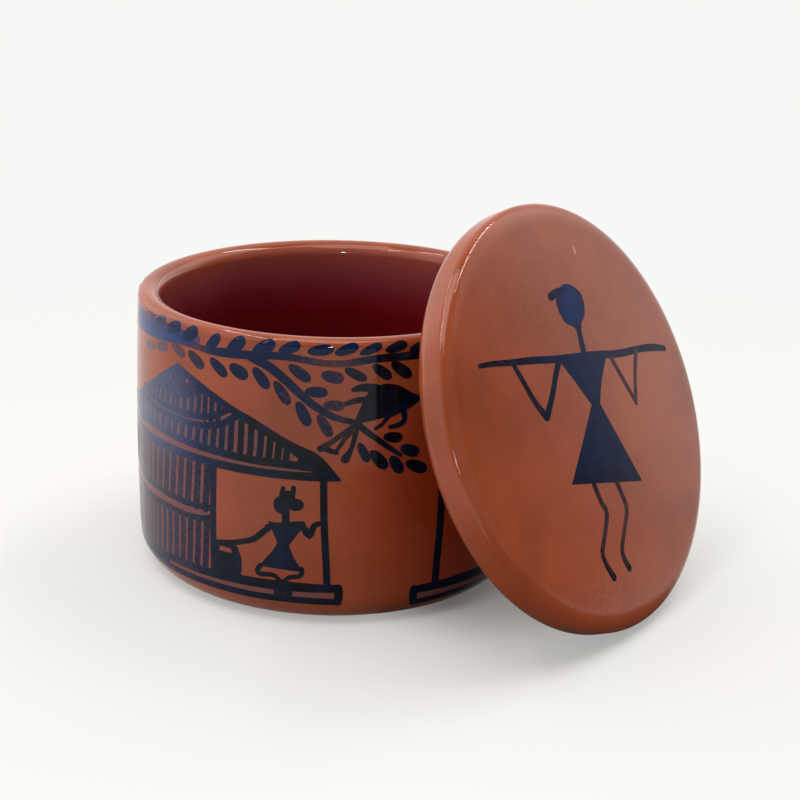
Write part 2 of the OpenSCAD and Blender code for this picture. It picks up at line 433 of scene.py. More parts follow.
def crown(radius):
    """The height of the lid's face above its underside, in mm."""
    return CROWN_CENTRE + math.sqrt(CROWN_R ** 2 - radius ** 2)


lean = (Matrix.Translation(Vector(LID_AT) * MM)
        @ Matrix.Rotation(math.radians(LEAN_TURN), 4, "Z")
        @ Matrix.Rotation(math.radians(LEAN_BACK), 4, "Y"))
face = [(r, crown(r)) for r in [0.0] + [TOP_CORNER[0] * i / 40 for i in range(1, 41)]]
top_edge = [(TOP_CORNER[0] + TOP_CORNER_REACH * x, TOP_CORNER[1] + TOP_CORNER_DROP * y)
            for x, y in corner((0, 0), 1, 87, 0, 16)]
low_edge = corner(LOW_CORNER, LOW_CORNER_R, 0, -90, 14)
seat = straight((LOW_CORNER[0], 0.0), (RING_OUT, 0.0), 4)
ring = straight((RING_OUT, 0.0), (RING_OUT, RING_EDGE - RING_DROP), 3)
ring += corner((RING_OUT - RING_EDGE, RING_EDGE - RING_DROP), RING_EDGE, 0, -90, 6)[1:]
ring += corner((RING_IN + RING_EDGE, RING_EDGE - RING_DROP), RING_EDGE, -90, -180, 6)
ring += straight((RING_IN, RING_EDGE - RING_DROP), (RING_IN, 0.0), 3)
belly = straight((RING_IN, 0.0), (0.0, 0.0), 16)
lid = throw_on_wheel("lid", face + top_edge + low_edge + seat + ring + belly, BODY_TURNS)
lid.data.transform(lean)

lid_upright = lean.inverted()
lid_clay, lid_mm, lid_colour = glazed_terracotta(
    "lid_glazed_terracotta", (lid_upright.translation, lid_upright.to_euler()), 0.8)
# A small chip in the lid's face, near the figure's head, with a painted glint on it: a pale spot
from_painted_glint = add_node(lid_clay, "VectorMath", {"operation": "SUBTRACT"}, {1: (-36.9, 14.5, 10.2)},
                     {0: lid_mm})
in_painted_glint = add_node(lid_clay, "Mapping",
                   values={"Rotation": (0, 0, math.radians(-20)), "Scale": (0.75, 2.4, 0.3)},
                   links={"Vector": from_painted_glint.outputs[0]})
painted_glint_reach = add_node(lid_clay, "VectorMath", {"operation": "LENGTH"}, None,
                      {0: in_painted_glint.outputs["Vector"]})
painted_glint_share = add_node(lid_clay, "MapRange",
                values={"From Min": 0.5, "From Max": 1.1, "To Min": 0.75, "To Max": 0.0},
                links={"Value": painted_glint_reach.outputs["Value"]})
colour_with_painted_glint = add_node(lid_clay, "Mix", {"data_type": "RGBA"}, {7: pigment("#d9a080")},
                  {0: painted_glint_share.outputs["Result"], 6: lid_colour})
lid_clay.node_tree.links.new(colour_with_painted_glint.outputs[2],
                             lid_clay.node_tree.nodes["Principled BSDF"].inputs["Base Color"])
lid.data.materials.append(lid_clay)
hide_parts("lid")
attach(lid, "loose_lid")

# The ring's lower edge stood on the kiln shelf, so it is wiped bare too
shelf_side = corner((RING_OUT - RING_EDGE, RING_EDGE - RING_DROP), RING_EDGE + BARE, -20, -90, 6)
shelf_side += corner((RING_IN + RING_EDGE, RING_EDGE - RING_DROP), RING_EDGE + BARE, -90, -160, 6)
shelf_root = (RING_IN + RING_EDGE, RING_EDGE - RING_DROP - 0.7)
ring_edge = throw_on_wheel("wiped_ring_edge", shelf_side + [shelf_root, shelf_side[0]], SKIN_TURNS)
ring_edge.data.transform(lean)
ring_edge.data.materials.append(bare_clay)
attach(ring_edge, "loose_lid")


# ---------------------------------------------------------------------------
# The brushwork: iron and cobalt pigment laid on the raw clay with a small
# round brush, then covered by the clear glaze. First the brush itself, and
# the vine that runs round the pot under its rim.
# How high above the clay a wash and a stroke lie, how much higher each of the
# next strokes lies, and how deep all of them are rooted in it, in mm
WASH, PAINT, NEXT_STROKE, ROOT = 0.016, 0.042, 0.003, -0.12
# The dry edge of a stroke: its width in mm, and the share of pigment in it
FEATHER, EDGE_LOAD, EDGE_COBALT = 0.08, 0.9, 0.4
ARC_R = 50.0
STEP, LEAF_STEPS = 0.7, 18


def stroke(points, width, tips=(True, True), load=1.0, cobalt=0.0):
    """A brush stroke through given points in mm: a smooth run of (along, up, width, load, cobalt).

    load is how much pigment the brush left, and cobalt how blue it fired, each from 0 to 1."""
    def each(value):
        return value if isinstance(value, (list, tuple)) else [value] * len(points)
    spots = [(*point, *rest) for point, *rest in zip(points, each(width), each(load), each(cobalt))]
    spots = [spots[0]] + spots + [spots[-1]]
    run = []
    for a, b, c, d in zip(spots, spots[1:], spots[2:], spots[3:]):
        steps = max(2, round(math.dist(b[:2], c[:2]) / STEP))
        for i in range(steps):
            t = i / steps
            run.append(tuple(0.5 * (2 * q + (r - p) * t + (2 * p - 5 * q + 4 * r - s) * t * t
                                    + (3 * q - p - 3 * r + s) * t ** 3)
                             for p, q, r, s in zip(a, b, c, d)))
    run.append(spots[-1])
    rounded = []
    for side, is_round in ((run, tips[0]), (run[::-1], tips[1])):
        (x0, y0, w0, *rest), (x1, y1, *_) = side[0], side[1]
        long = math.dist((x0, y0), (x1, y1)) or 1.0
        back = ((x0 - x1) / long, (y0 - y1) / long)
        extra = []
        if is_round:
            for out, share in ((0.5, 0.12), (0.46, 0.4), (0.35, 0.71), (0.2, 0.92)):
                extra.append((x0 + back[0] * out * w0, y0 + back[1] * out * w0, w0 * share, *rest))
        rounded.append(extra)
    return rounded[0] + run + rounded[1][::-1]


def leaf(x, y, long, wide, slope, load=1.0, cobalt=0.0):
    """One press of the brush: a fat drop with its blunt end leading."""
    dx, dy = math.cos(math.radians(slope)) / 2, math.sin(math.radians(slope)) / 2
    run = []
    for i in range(LEAF_STEPS + 1):
        a = -math.cos(math.pi * i / LEAF_STEPS)
        swell = max(1 - abs(a) ** 2.4, 0.0) ** 0.5 * (1 + 0.12 * a)
        run.append((x + dx * long * a, y + dy * long * a, max(wide * swell, 0.12), load, cobalt))
    return run


def on_pot(along, up, out):
    """A spot of the unrolled wall, in mm, wrapped on to the pot. Nought faces the front."""
    turn = along / ARC_R
    if up > RIM_CENTRE[1]:
        rise = math.asin(min((up - RIM_CENTRE[1]) / RIM_R, 1.0))
        reach = RIM_CENTRE[0] + (RIM_R + out) * math.cos(rise)
        up = RIM_CENTRE[1] + (RIM_R + out) * math.sin(rise)
    elif up < FOOT_CENTRE[1]:
        drop = math.asin(min((FOOT_CENTRE[1] - up) / FOOT_R, 1.0))
        reach = FOOT_CENTRE[0] + (FOOT_R + out) * math.cos(drop)
        up = FOOT_CENTRE[1] - (FOOT_R + out) * math.sin(drop)
    else:
        reach = wall_radius(up) + out
    return Vector(wheel_touch(reach * math.sin(turn), -reach * math.cos(turn), up)) * MM


def on_lid(right, up, out):
    """A spot of the lid's face, in mm from its middle, seen with its top edge up."""
    return lean @ (Vector((-up, right, crown(math.hypot(right, up)) + out)) * MM)


def brushwork(name, strokes, place, across=7, washes=()):
    """Lays strokes as flat ribbons with a thin closed edge, then wraps them on the clay.

    washes are thin strokes laid first, under all the others."""
    half = [(-0.5 + i / (across - 1), 1.0) for i in range(across)]
    outline = half + [(0.5, -1.0), (-0.5, -1.0)]
    tip = bpy.data.curves.new(name + "_brush_tip", "CURVE")
    edge = tip.splines.new("POLY")
    edge.points.add(len(outline) - 1)
    for spot, (x, y) in zip(edge.points, outline):
        spot.co = (x, y, 0, 1)
    edge.use_cyclic_u = True
    tip_object = bpy.data.objects.new(name + "_brush_tip", tip)
    bpy.context.collection.objects.link(tip_object)
    drawn = bpy.data.curves.new(name, "CURVE")
    drawn.dimensions = "3D"
    drawn.twist_mode = "Z_UP"
    drawn.bevel_mode = "OBJECT"
    drawn.bevel_object = tip_object
    for run in [*washes, *strokes]:
        path = drawn.splines.new("POLY")
        path.points.add(len(run) - 1)
        for spot, (x, y, w, *_) in zip(path.points, run):
            spot.co = (x, y, 0, 1)
            spot.radius = w
    piece = bpy.data.objects.new(name, drawn)
    bpy.context.collection.objects.link(piece)
    bpy.ops.object.select_all(action="DESELECT")
    piece.select_set(True)
    bpy.context.view_layer.objects.active = piece
    bpy.ops.object.convert(target="MESH")
    bpy.data.objects.remove(tip_object)
    pigment_load = piece.data.attributes.new("pigment_load", "FLOAT_COLOR", "POINT")
    # Each stroke dries a hair thicker than the last, so that none lies in
    # another, and thins out over its last tenth of a millimetre
    ring = len(outline)
    first = 0
    for number, run in enumerate([*washes, *strokes]):
        base = WASH if number < len(washes) else PAINT
        top = base + NEXT_STROKE * (number % 7)
        last = first + len(run) * ring
        for k in range(first, last):
            v = piece.data.vertices[k]
            column = (k - first) % ring
            x, y, w, load, cobalt = run[(k - first) // ring]
            inset = min(FEATHER / max(0.5 * w, 0.01), 0.5)
            flat = v.co.x, v.co.y
            if column in (1, across - 2):
                reach = (1 - inset) / (1 - 2 / (across - 1))
                flat = x + (v.co.x - x) * reach, y + (v.co.y - y) * reach
            at_edge = column in (0, across - 1) or column >= across
            thinned = (EDGE_LOAD, EDGE_COBALT) if at_edge else (1.0, 1.0)
            pigment_load.data[k].color = (load * thinned[0], cobalt * thinned[1], 0.0, 1.0)
            v.co = place(*flat, top if v.co.z > 0 else ROOT)
        first = last
    if first != len(piece.data.vertices):
        raise ValueError(f"{name}: {first} spots drawn, {len(piece.data.vertices)} made")
    bpy.ops.object.mode_set(mode="EDIT")
    bpy.ops.mesh.select_all(action="SELECT")
    bpy.ops.mesh.fill_holes(sides=0)
    bpy.ops.mesh.normals_make_consistent(inside=False)
    bpy.ops.object.mode_set(mode="OBJECT")
    bpy.ops.object.shade_smooth_by_angle(angle=math.radians(30))
    return piece


# Blue-black brush pigment: cobalt over iron under clear glaze. It is bright
# blue where the cobalt pooled, and a dull pinkish brown where it ran thin.
def brush_pigment(name, coat_ior):
    """The pigment on the pot and on the lid differ in how glossy the glaze over them is."""
    ink = bpy.data.materials.new(name)
    ink.use_nodes = True
    glaze = ink.node_tree.nodes["Principled BSDF"]
    laid = add_node(ink, "Attribute", {"attribute_name": "pigment_load"})
    how = add_node(ink, "SeparateColor", links={"Color": laid.outputs["Color"]})
    where = add_node(ink, "TexCoord")
    pools = add_node(ink, "TexNoise", values={"Scale": 260.0, "Detail": 2.0},
                     links={"Vector": where.outputs["Object"]})
    tone = add_node(ink, "ValToRGB", links={"Fac": pools.outputs["Fac"]},
                    stops=((0.35, "#030409"), (0.7, "#08152c")))
    blue = add_node(ink, "Mix", {"data_type": "RGBA"}, {7: pigment("#082e6a")},
                    {0: how.outputs["Green"], 6: tone.outputs["Color"]})
    bristles = add_node(ink, "TexNoise", values={"Scale": 900.0, "Detail": 3.0},
                        links={"Vector": where.outputs["Object"]})
    patchy = add_node(ink, "MapRange",
                      values={"From Min": 0.3, "From Max": 0.7, "To Min": -0.08, "To Max": 0.08},
                      links={"Value": bristles.outputs["Fac"]})
    amount = add_node(ink, "Math", {"operation": "ADD"},
                      links={0: how.outputs["Red"], 1: patchy.outputs["Result"]})
    thin = add_node(ink, "ValToRGB", links={"Fac": amount.outputs["Value"]},
                    stops=((0.0, "#8e3f22"), (0.4, "#724646")))
    cover = add_node(ink, "MapRange", values={"From Min": 0.35, "From Max": 0.92},
                     links={"Value": amount.outputs["Value"]})
    fired = add_node(ink, "Mix", {"data_type": "RGBA"},
                     links={0: cover.outputs["Result"], 6: thin.outputs["Color"], 7: blue.outputs[2]})
    # Painted reflection: the pigment is painted a pale milky blue at the far end of the near hut's roof, for
    # the hazy reflection of the glaze there
    from_painted_haze = add_node(ink, "VectorMath", {"operation": "DISTANCE"}, {1: (-0.044, -0.026, 0.049)},
                          {0: where.outputs["Object"]})
    painted_haze_share = add_node(ink, "MapRange", {"interpolation_type": "SMOOTHSTEP"},
                     {"From Min": 0.008, "From Max": 0.022, "To Min": 0.26, "To Max": 0.0},
                     {"Value": from_painted_haze.outputs["Value"]})
    colour_with_painted_haze = add_node(ink, "Mix", {"data_type": "RGBA"}, {7: pigment("#7c84a2")},
                     {0: painted_haze_share.outputs["Result"], 6: fired.outputs[2]})
    ink.node_tree.links.new(colour_with_painted_haze.outputs[2], glaze.inputs["Base Color"])
    for socket, value in (("Roughness", 0.4), ("IOR", 1.5), ("Specular IOR Level", 0.0), ("Coat Weight", 1.0),
                          ("Coat Roughness", 0.05), ("Coat IOR", coat_ior)):
        glaze.inputs[socket].default_value = value
    return ink


pot_ink = brush_pigment("blue_black_brush_pigment", 1.3)


def finish_paint(piece, ink, body):
    """A painted piece has its pigment, and goes with the clay that it is on."""
    piece.data.materials.append(ink)
    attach(piece, body)


stem = [(-66, 63.2), (-58, 63.7), (-52, 64.0), (-46, 64.4), (-42, 64.8), (-38, 64.7), (-34, 64.2),
        (-30, 64.1), (-26, 64.4), (-22, 64.6), (-18, 64.9), (-14, 65.3), (-10, 65.2), (-6, 64.7), (-2, 64.3),
        (2, 64.3), (6, 64.9), (10, 65.3), (14, 65.4), (20, 65.4), (26, 65.2)]
around = [(along, 64.8 + 0.6 * math.sin(along / 8.5)) for along in range(34, 241, 8)]
stem_width = [3.4, 3.4, 3.2, 3.0, 2.6, 2.2, 1.5, 1.8, 2.2, 2.0, 2.0, 1.8, 1.6, 1.6, 1.6, 1.6, 1.7, 1.8, 1.9,
              1.8, 1.7]
stem_load = [0.9, 0.9, 0.9, 0.9, 0.9, 0.85, 0.75, 0.9, 1, 1, 1, 1, 0.9, 0.82, 0.72, 0.74, 0.92, 1, 1, 1, 1]
stem_blue = [1, 1, 1, 1, 1, 0.8, 0.3, 0.3, 0.3, 0.25, 0.25, 0.25, 0.2, 0.2, 0.1, 0.1, 0.1, 0, 0, 0, 0]
branch = [(-20, 64.2), (-16, 63.0), (-13.5, 61.5), (-11, 59.6), (-8.5, 57.4), (-6, 55.3), (-3.5, 53.6),
          (-1, 52.2), (1.5, 51.3), (4.6, 50.4), (7, 48.4), (9.5, 46.5), (12, 44.5), (15, 42.3)]
vine = [
    stroke(stem + around, stem_width + [1.7] * len(around), load=stem_load + [0.95] * len(around),
           cobalt=stem_blue + [0.15] * len(around)),
    stroke(branch, [1.6, 2.2, 2.2, 2.1, 2.0, 1.9, 1.8, 1.6, 1.4, 1.5, 1.5, 1.4, 1.3, 1.0],
           load=[1, 1, 1, 0.95, 0.92, 0.95, 0.92, 0.88, 0.86, 0.95, 0.95, 1, 1, 1],
           cobalt=[0.25, 0.25, 0.2, 0.2, 0.2, 0.25, 0.15, 0.1, 0.05, 0, 0, 0, 0, 0]),
]
vine += [leaf(*spot) for spot in (
    # above the stem
    (-56, 66.6, 5.2, 2.2, 12, 0.62, 0.6), (-49.2, 66.9, 5.8, 2.4, 24, 0.85, 0.5),
    (-43, 66.9, 5.8, 2.9, 20, 0.95, 0.4), (-37, 66.7, 5.6, 3.0, 34, 0.95, 0.35),
    (-30, 65.9, 6.2, 2.5, 50, 1, 0.4), (-23.6, 66.4, 6.0, 3.0, 42, 1, 0.3),
    (-16.6, 66.9, 6.0, 2.9, 28, 1, 0.3), (-10.6, 67.3, 5.4, 2.5, 22, 1, 0.3),
    (-3.5, 67.2, 6.0, 2.4, 8, 1, 0.25), (2.3, 67.4, 5.6, 2.3, 18, 1, 0.2), (7.8, 67.4, 5.4, 2.0, 20, 1, 0.1),
    (13.7, 67.6, 5.4, 2.2, 14), (19.2, 67.3, 5.2, 2.1, 16),
    # below it
    (-54.4, 59.8, 5.4, 2.2, 8, 0.5, 0.2), (-48.2, 61.2, 5.6, 2.4, 12, 0.6, 0.3),
    (-41.2, 62.1, 5.2, 2.6, -22, 0.66, 0.1), (-35, 61.1, 5.8, 2.8, -30, 0.82, 0.2),
    (-28.2, 60.6, 5.8, 2.6, -36, 0.96, 0.2), (-22.8, 60.6, 5.2, 3.1, -24, 1, 0.2),
    (-8.2, 61.8, 6.0, 2.6, -34, 0.9, 0.15), (-0.8, 61.2, 5.2, 2.8, -12, 0.86, 0.2),
    (4.4, 61.8, 5.6, 2.2, -28, 0.92, 0), (10.4, 62.2, 5.4, 2.4, -38), (14.9, 62.4, 6.0, 2.6, -38),
    # along the branch
    (-17.2, 59.8, 5.8, 2.7, -50, 1, 0.2), (-12.2, 56.9, 6.2, 2.5, -56, 0.88, 0.1),
    (-7.3, 52.4, 6.2, 2.7, -64, 0.96, 0.15), (-2.4, 49.8, 6.0, 2.4, -60, 0.86, 0.1),
    (-4.4, 57.6, 5.2, 2.5, 0, 0.92, 0.2), (-0.4, 54.6, 4.9, 2.4, -2, 0.8, 0.05), (13.1, 46.7, 4.6, 2.5, -8),
    (17.2, 43.2, 5.0, 2.8, -25), (18.9, 39.1, 5.9, 2.8, -27), (14.0, 40.1, 5.0, 2.7, -58),
    (9.9, 41.6, 5.9, 2.7, -50), (6.4, 43.5, 5.2, 2.1, -64, 0.94, 0.1))]
hand = random.Random(11)
for along in range(25, 241, 7):
    vine.append(leaf(along, 67.3 + hand.uniform(-0.2, 0.2), hand.uniform(5.0, 5.8), hand.uniform(1.9, 2.5),
                     hand.uniform(12, 30), hand.uniform(0.85, 1), hand.uniform(0, 0.6)))
    vine.append(leaf(along + 3.0, 61.6 + hand.uniform(-0.5, 0.4), hand.uniform(5.1, 6.0),
                     hand.uniform(2.3, 2.8), hand.uniform(-42, -20), hand.uniform(0.8, 1),
                     hand.uniform(0, 0.3)))
blue_band = [stroke([(-66, 65.4), (-58, 65.6), (-50, 66.4), (-44, 66.6), (-38, 66.2), (-35, 66.0)],
                    [3.6, 3.2, 3.6, 3.8, 3.8, 2.6], load=[0.8, 0.8, 0.8, 0.8, 0.78, 0.66], cobalt=1.0)]
finish_paint(brushwork("vine", vine, on_pot, washes=blue_band), pot_ink, "pot")


# ---------------------------------------------------------------------------
# The birds: full-bellied, with split tail feathers behind, painted with the
# side of the brush. One stands on the twig in front and two fly at the back.
def moved(run, along, up, flip=1):
    """A stroke shifted along and up the wall, or turned left for right first."""
    return [(flip * x + along, y + up, *rest) for x, y, *rest in run]


bird_body = [
    stroke([(4.8, 50.8), (7.2, 52.8), (10.2, 55.0), (13.4, 55.4), (16.4, 55.2), (20.0, 55.4)],
           [1.2, 4.6, 8.0, 7.4, 4.6, 0.5], (True, False), [0.96, 0.97, 1, 1, 1, 1]),
    stroke([(3.9, 58.3), (6.0, 58.7), (9.0, 58.4), (12, 57.5)], [1.1, 1.8, 2.1, 2.0], load=[0.9, 0.94, 1, 1]),
    stroke([(2.3, 55.0), (4.0, 55.6), (6.6, 55.9), (9.2, 55.6)], [1.0, 1.3, 1.5, 1.5],
           load=[0.86, 0.9, 0.95, 1]),
    stroke([(15.6, 52.6), (15.8, 50.6), (14.4, 49.5), (12.4, 49.2)], [1.5, 1.2, 1.3, 0.9]),
]
bird_legs = [
    stroke([(11.8, 51.6), (10.8, 50.2), (9.0, 49.0)], [1.2, 0.9, 0.8], load=0.9),
    stroke([(4.2, 49.7), (2.2, 48.4), (0.4, 47.0), (-1.4, 45.6), (-3.2, 44.4)], [1.3, 1.2, 1.2, 1.3, 1.7],
           load=[0.95, 0.85, 0.85, 0.85, 0.95]),
    stroke([(4.2, 49.0), (2.4, 47.2), (1.4, 45.7), (0.5, 44.3)], [1.2, 1.1, 1.0, 0.9], load=0.85),
    stroke([(-2.4, 44.4), (-1.0, 43.9), (0.3, 43.5)], [1.3, 1.3, 1.1], load=0.92),
    stroke([(4.6, 48.8), (4.2, 46.4), (3.4, 44.0), (2.3, 42.0)], [1.3, 1.2, 1.2, 2.1],
           load=[1, 0.9, 0.9, 0.95]),
]
birds = bird_body + bird_legs
birds += [moved(run, 124, -6) for run in bird_body] + [moved(run, 222, -4, -1) for run in bird_body]
finish_paint(brushwork("birds", birds, on_pot, across=13), pot_ink, "pot")


# ---------------------------------------------------------------------------
# The huts: a thatched roof hatched under two scalloped lines, a wall of
# upright reeds in two panels, posts and a raised plinth, over thin washes.
# The second one is the first turned left for right, a little lower down.
UPPER_REED_GAP, LOWER_REED_GAP, WASH_GAP = 2.86, 2.58, 4.6
BLUE_FROM, BLUE_OVER, EAVE_UP = -20, 20, 36


def fired_blue(run):
    """The near end of a hut fires black and its far end blue, more so on the roof."""
    fired = []
    for x, y, w, load, _ in run:
        far = min(max((BLUE_FROM - x) / BLUE_OVER, 0), 1)
        fired.append((x, y, w, load * (1 - 0.12 * far), far * (0.5 if y > EAVE_UP else 0.25)))
    return fired


def hut(porch, eave, post):
    """The strokes and the washes of one hut, in mm.

    porch and eave are how far its plinth and its roof reach, and post how wide its front post is."""
    roof = [
        stroke([(-41.3, 58.1), (-36, 56.2), (-30, 53.7), (-24, 51.1), (-20, 49.5), (-16, 47.6), (-12, 45.5)],
               [1.5, 1.7, 1.8, 1.9, 2.1, 2.1, 2.1]),
        stroke([(-13, 46.0), (-9, 43.9), (-5.4, 41.6), (-2.6, 39.3), (eave, 37.0)],
               [2.0, 2.6, 4.0, 3.6, 0.8]),
        stroke([(-8, 41.2), (-5.5, 40.4)], [1.0, 2.6]),
        stroke([(-40.8, 58.1), (-44.4, 56.2), (-50, 52.5), (-56, 48.9), (-62, 45.7), (-70, 42.2),
                (-82, 38.0)], [1.5, 1.6, 1.8, 1.8, 1.8, 1.9, 1.4]),
        stroke([(-82, 39.9), (-70, 40.1), (-60, 40.5), (-50, 41.0), (-40, 40.7), (-30, 40.5), (-20, 40.2),
                (-10, 40.1), (-3, 39.5)], [1.6, 1.8, 1.9, 1.9, 1.9, 1.9, 1.9, 2.0, 2.0]),
        stroke([(-84, 36.8), (-70, 36.8), (-60, 36.9), (-50, 37.2), (-40, 37.4), (-30, 37.5), (-20, 37.5),
                (-10, 37.5), (-4, 37.5), (eave + 0.2, 36.9)],
               [1.2, 1.9, 2.0, 2.0, 2.0, 2.0, 2.0, 2.0, 2.0, 0.6]),
        # the thatch cap, with a few small gaps
        stroke([(-43.2, 57.0), (-38.9, 57.0)], 1.4),
        stroke([(-44.8, 55.9), (-42.6, 56.0)], 1.2), stroke([(-41.2, 56.0), (-38.8, 56.0)], 1.2),
        stroke([(-36.9, 56.0), (-35.6, 55.6)], 1.2), stroke([(-46.8, 54.9), (-45.3, 54.9)], 1.2),
        stroke([(-43.2, 54.9), (-38.8, 54.8)], 1.3), stroke([(-36.8, 54.9), (-34.4, 54.7)], 1.2),
        stroke([(-48.6, 53.9), (-42, 53.8), (-36.8, 54.2)], 1.4),
        stroke([(-49.6, 53.1), (-44, 52.9), (-40, 52.9), (-37.6, 53.4), (-35.8, 54.4)], 1.1),
        # the two scallops
        stroke([(-51.4, 52.0), (-46, 51.7), (-42, 51.4), (-38.4, 51.8), (-35.4, 53.0), (-32.6, 54.4)], 1.4),
        stroke([(-58, 48.8), (-54, 48.1), (-48, 47.5), (-40, 47.4), (-34, 47.8), (-30, 48.7), (-27.5, 50.0),
                (-25.2, 51.3)], 1.6),
        stroke([(-59, 46.8), (-54, 45.9), (-48, 45.5), (-40, 45.4), (-34, 45.7), (-30, 46.4), (-27, 47.5),
                (-24.6, 49.1), (-22.6, 50.4)], 1.6),
    ]
    upper = ((-54.4, 50.0), (-52, 51.4), (-49.8, 51.6), (-47.4, 51.6), (-45.0, 51.5), (-42.7, 51.2),
             (-41, 51.3), (-38.6, 51.6), (-36.2, 52.6), (-34, 53.8), (-32, 54.3), (-30, 53.6), (-28, 52.8))
    lower = ((-73.6, 41.2), (-70.8, 42.2), (-68, 43.2), (-65.4, 44.2), (-62.8, 45.4), (-60.2, 46.4),
             (-57.8, 46.8), (-55.2, 46.4), (-52.7, 46.0), (-50.1, 45.7), (-47.1, 45.6), (-44.5, 45.5),
             (-42, 45.5), (-39.3, 45.5), (-36.7, 45.7), (-34.2, 45.8), (-31.8, 46.2), (-29.4, 46.8),
             (-27.0, 47.6), (-24.6, 49.2), (-22.0, 50.3), (-19.5, 49.2), (-17.1, 48.1), (-14.9, 47.1),
             (-12.8, 46.0), (-10.8, 45.0))
    roof += [stroke([(x - 0.2, 47.6), (x, 49.6), (x + 0.2, top)], 1.4) for x, top in upper]
    roof += [stroke([(x - 0.4, 40.6), (x - 0.1, 43), (x + 0.2, top)], 1.6) for x, top in lower]
    # the reeds of the wall, in an upper and a lower panel
    walls = [stroke([(x, 36.8), (x - 0.3, 31), (x - 0.8, 25.4)], [2.0, 1.9, 2.0], load=0.95)
             for x in [-31.2 - UPPER_REED_GAP * i for i in range(17)]]
    walls += [stroke([(x, 21.9), (x - 0.4, 15), (x - 0.8, 9.4)], [1.8, 1.8, 1.9], load=0.95)
              for x in [-31.6 - LOWER_REED_GAP * i for i in range(18)]]
    walls += [
        stroke([(-79, 24.7), (-68, 24.9), (-56, 25.0), (-46, 25.2), (-38, 25.2), (-30, 26.0)], 1.5),
        stroke([(-79, 21.0), (-68, 21.0), (-56, 21.3), (-46, 22.0), (-40, 22.0), (-34, 22.5), (-30, 23.6)],
               1.5),
        stroke([(-29.4, 36.8), (-29.7, 24), (-29.8, 9.6)], [1.7, 1.8, 1.8]),
        stroke([(-78.6, 37.0), (-78.9, 24), (-79.2, 9.6)], 1.7),
        stroke([(-2.5, 36.6), (-2.4, 30), (-2.2, 24), (-1.8, 17), (-1.5, 10.2)], post),
    ]
    plinth = [
        stroke([(-81, 8.4), (-66, 8.2), (-50, 8.2), (-40, 8.9), (-30, 9.2), (-20, 9.6), (-10, 9.7),
                (porch, 9.7)], [1.6, 1.8, 1.8, 2.1, 2.2, 2.4, 2.4, 2.0]),
        stroke([(-81, 5.7), (-66, 5.6), (-50, 5.8), (-40, 6.1), (-30, 6.3), (-20, 6.3), (-10, 6.4),
                (porch, 6.2)], [1.4, 1.5, 1.7, 1.7, 1.7, 1.7, 1.7, 1.7]),
        stroke([(porch, 9.9), (porch + 0.1, 8), (porch - 0.2, 6.1)], [1.9, 2.0, 1.8]),
        stroke([(-80.6, 8), (-80.8, 6)], 1.6), stroke([(-80, 7.1), (-46.4, 7.1)], 1.8),
    ]
    thin = [stroke([(left, up), (middle, up), (right, up)], 2.8, load=[0.54, 0.48, 0.4])
            for up, left, middle, right in (
                (55.8, -42.8, -41, -38), (53.6, -46, -40, -33.6), (51.4, -49.5, -40, -28.6),
                (49.2, -53.5, -40, -23.6), (47.0, -58, -36, -18.6), (44.8, -62, -34, -14.2),
                (42.6, -67, -34, -10.4))]
    thin += [stroke([(x, 35.4), (x - 0.4, 24), (x - 0.8, 10)], 4.9, load=0.42)
             for x in [-33.2 - WASH_GAP * i for i in range(10)]]
    thin.append(stroke([(-78, 38.5), (-50, 38.7), (-30, 38.9), (-8, 38.7)], 1.4, load=0.4))
    thin.append(stroke([(-48, 7.3), (-30, 7.8), (-14, 8.0), (porch - 1, 8.0)], 2.0, load=0.36))
    return [fired_blue(run) for run in roof + walls + plinth], [fired_blue(run) for run in thin]


near_strokes, near_washes = hut(1.1, 0.9, 1.65)
# The near plinth is painted full under the seated woman
near_strokes.append(stroke([(-13.2, 8.0), (-10.4, 8.0)], 1.8, load=0.9))
finish_paint(brushwork("near_hut", near_strokes, on_pot, washes=near_washes), pot_ink, "pot")
far_strokes, far_washes = ([moved(run, 23.3, -1.9, -1) for run in part] for part in hut(4.1, -1.4, 1.95))
finish_paint(brushwork("far_hut", far_strokes, on_pot, washes=far_washes), pot_ink, "pot")


# ---------------------------------------------------------------------------
# The people of the village: triangles and round heads. One sits at her water
# jar in the doorway, and others walk round the back with jars on their heads.
torso = [
    stroke([(-11.2, 25.4), (-11.4, 23.0), (-11.7, 20.2)], [8.4, 5.6, 2.5], (False, False), cobalt=0.1),
    stroke([(-15.4, 24.3), (-13, 24.9), (-10, 25.4), (-7.2, 25.8)], [1.3, 1.4, 1.5, 1.5]),
    stroke([(-11.1, 28.4), (-11.1, 25.8)], 1.8),
    stroke([(-13.9, 30.1), (-13.2, 30.1), (-12, 30.1), (-10.8, 30.1), (-10.1, 30.1)],
           [1.8, 3.6, 4.5, 3.8, 1.8], (False, False), cobalt=0.1),
]
head_dress = [
    stroke([(-10.4, 30.7), (-9.2, 30.5), (-8.4, 30.5)], [2.8, 3.1, 2.9]),
    stroke([(-12.0, 31.6), (-11.9, 33.2), (-11.7, 34.2)], [1.4, 1.2, 1.1]),
    stroke([(-10.9, 31.6), (-10.6, 33.0)], [2.2, 1.6]),
    stroke([(-9.9, 31.4), (-9.5, 33.0), (-9.3, 34.5)], [1.8, 1.3, 1.2]),
]
